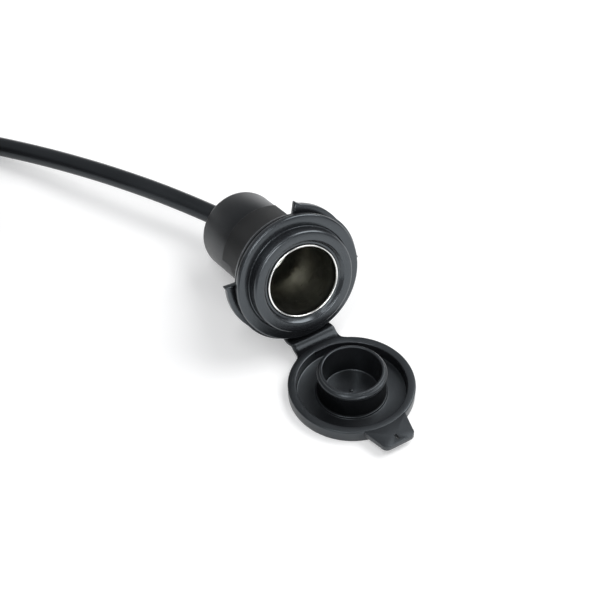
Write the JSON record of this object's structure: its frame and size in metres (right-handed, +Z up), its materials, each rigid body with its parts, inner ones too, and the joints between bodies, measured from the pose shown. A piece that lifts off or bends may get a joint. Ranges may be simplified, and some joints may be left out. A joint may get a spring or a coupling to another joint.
{
  "type": "accessory power socket",
  "caption": "Round panel-mounted accessory power socket lying open on its boot, with a hollow-plugged hinged rubber cap, twist-lock ring and a coiled two-core lead ending in a connector.",
  "frame": {"origin": "on the surface that the part lies on, under the middle of the socket with its open cap", "axes": "+Z up; the open cap lies towards -Y and the boot towards +Y; the bore looks towards -Y and 19 degrees up"},
  "size_m": [0.1568, 0.1818, 0.0429],
  "materials": {
    "black_plastic": "satin",
    "black_rubber": "matte",
    "bright_metal": "bright",
    "brass": "satin",
    "insulating_board": "matte",
    "cable_sheath": "satin",
    "red_insulation": "satin"
  },
  "bodies": {
    "socket": {"housing": "black_plastic", "contact_sleeve": "bright_metal", "base_insulator": "insulating_board", "insulator_washer": "insulating_board", "centre_contact": "brass", "contact_rivet": "brass", "positive_terminal": "brass", "negative_terminal": "brass", "negative_rivet": "bright_metal", "positive_wire": "red_insulation", "negative_wire": "cable_sheath", "cable_entry": "cable_sheath", "cable_clip": "black_plastic", "rear_boot": "black_rubber", "lock_ring": "black_plastic", "cap_collar": "black_rubber", "cable": "cable_sheath", "cable_coil": "cable_sheath", "coil_tie_near": "black_plastic", "coil_tie_far": "black_plastic", "cable_tail": "cable_sheath", "connector_housing": "black_plastic", "connector_pin_positive": "brass", "connector_pin_negative": "brass", "connector_seal": "black_rubber", "connector_latch": "black_plastic"},
    "cap": {"cap_lid": "black_rubber"}
  },
  "joints": [
    {"name": "cap_hinge", "type": "hinge", "parent": "socket", "child": "cap", "pos_m": [0.00118, -0.00103, 0.00453], "axis": [-0.9975, -0.0575, -0.041], "range_deg": [0, 109.1], "stiffness_Nm_per_rad": 0.0015}
  ]
}
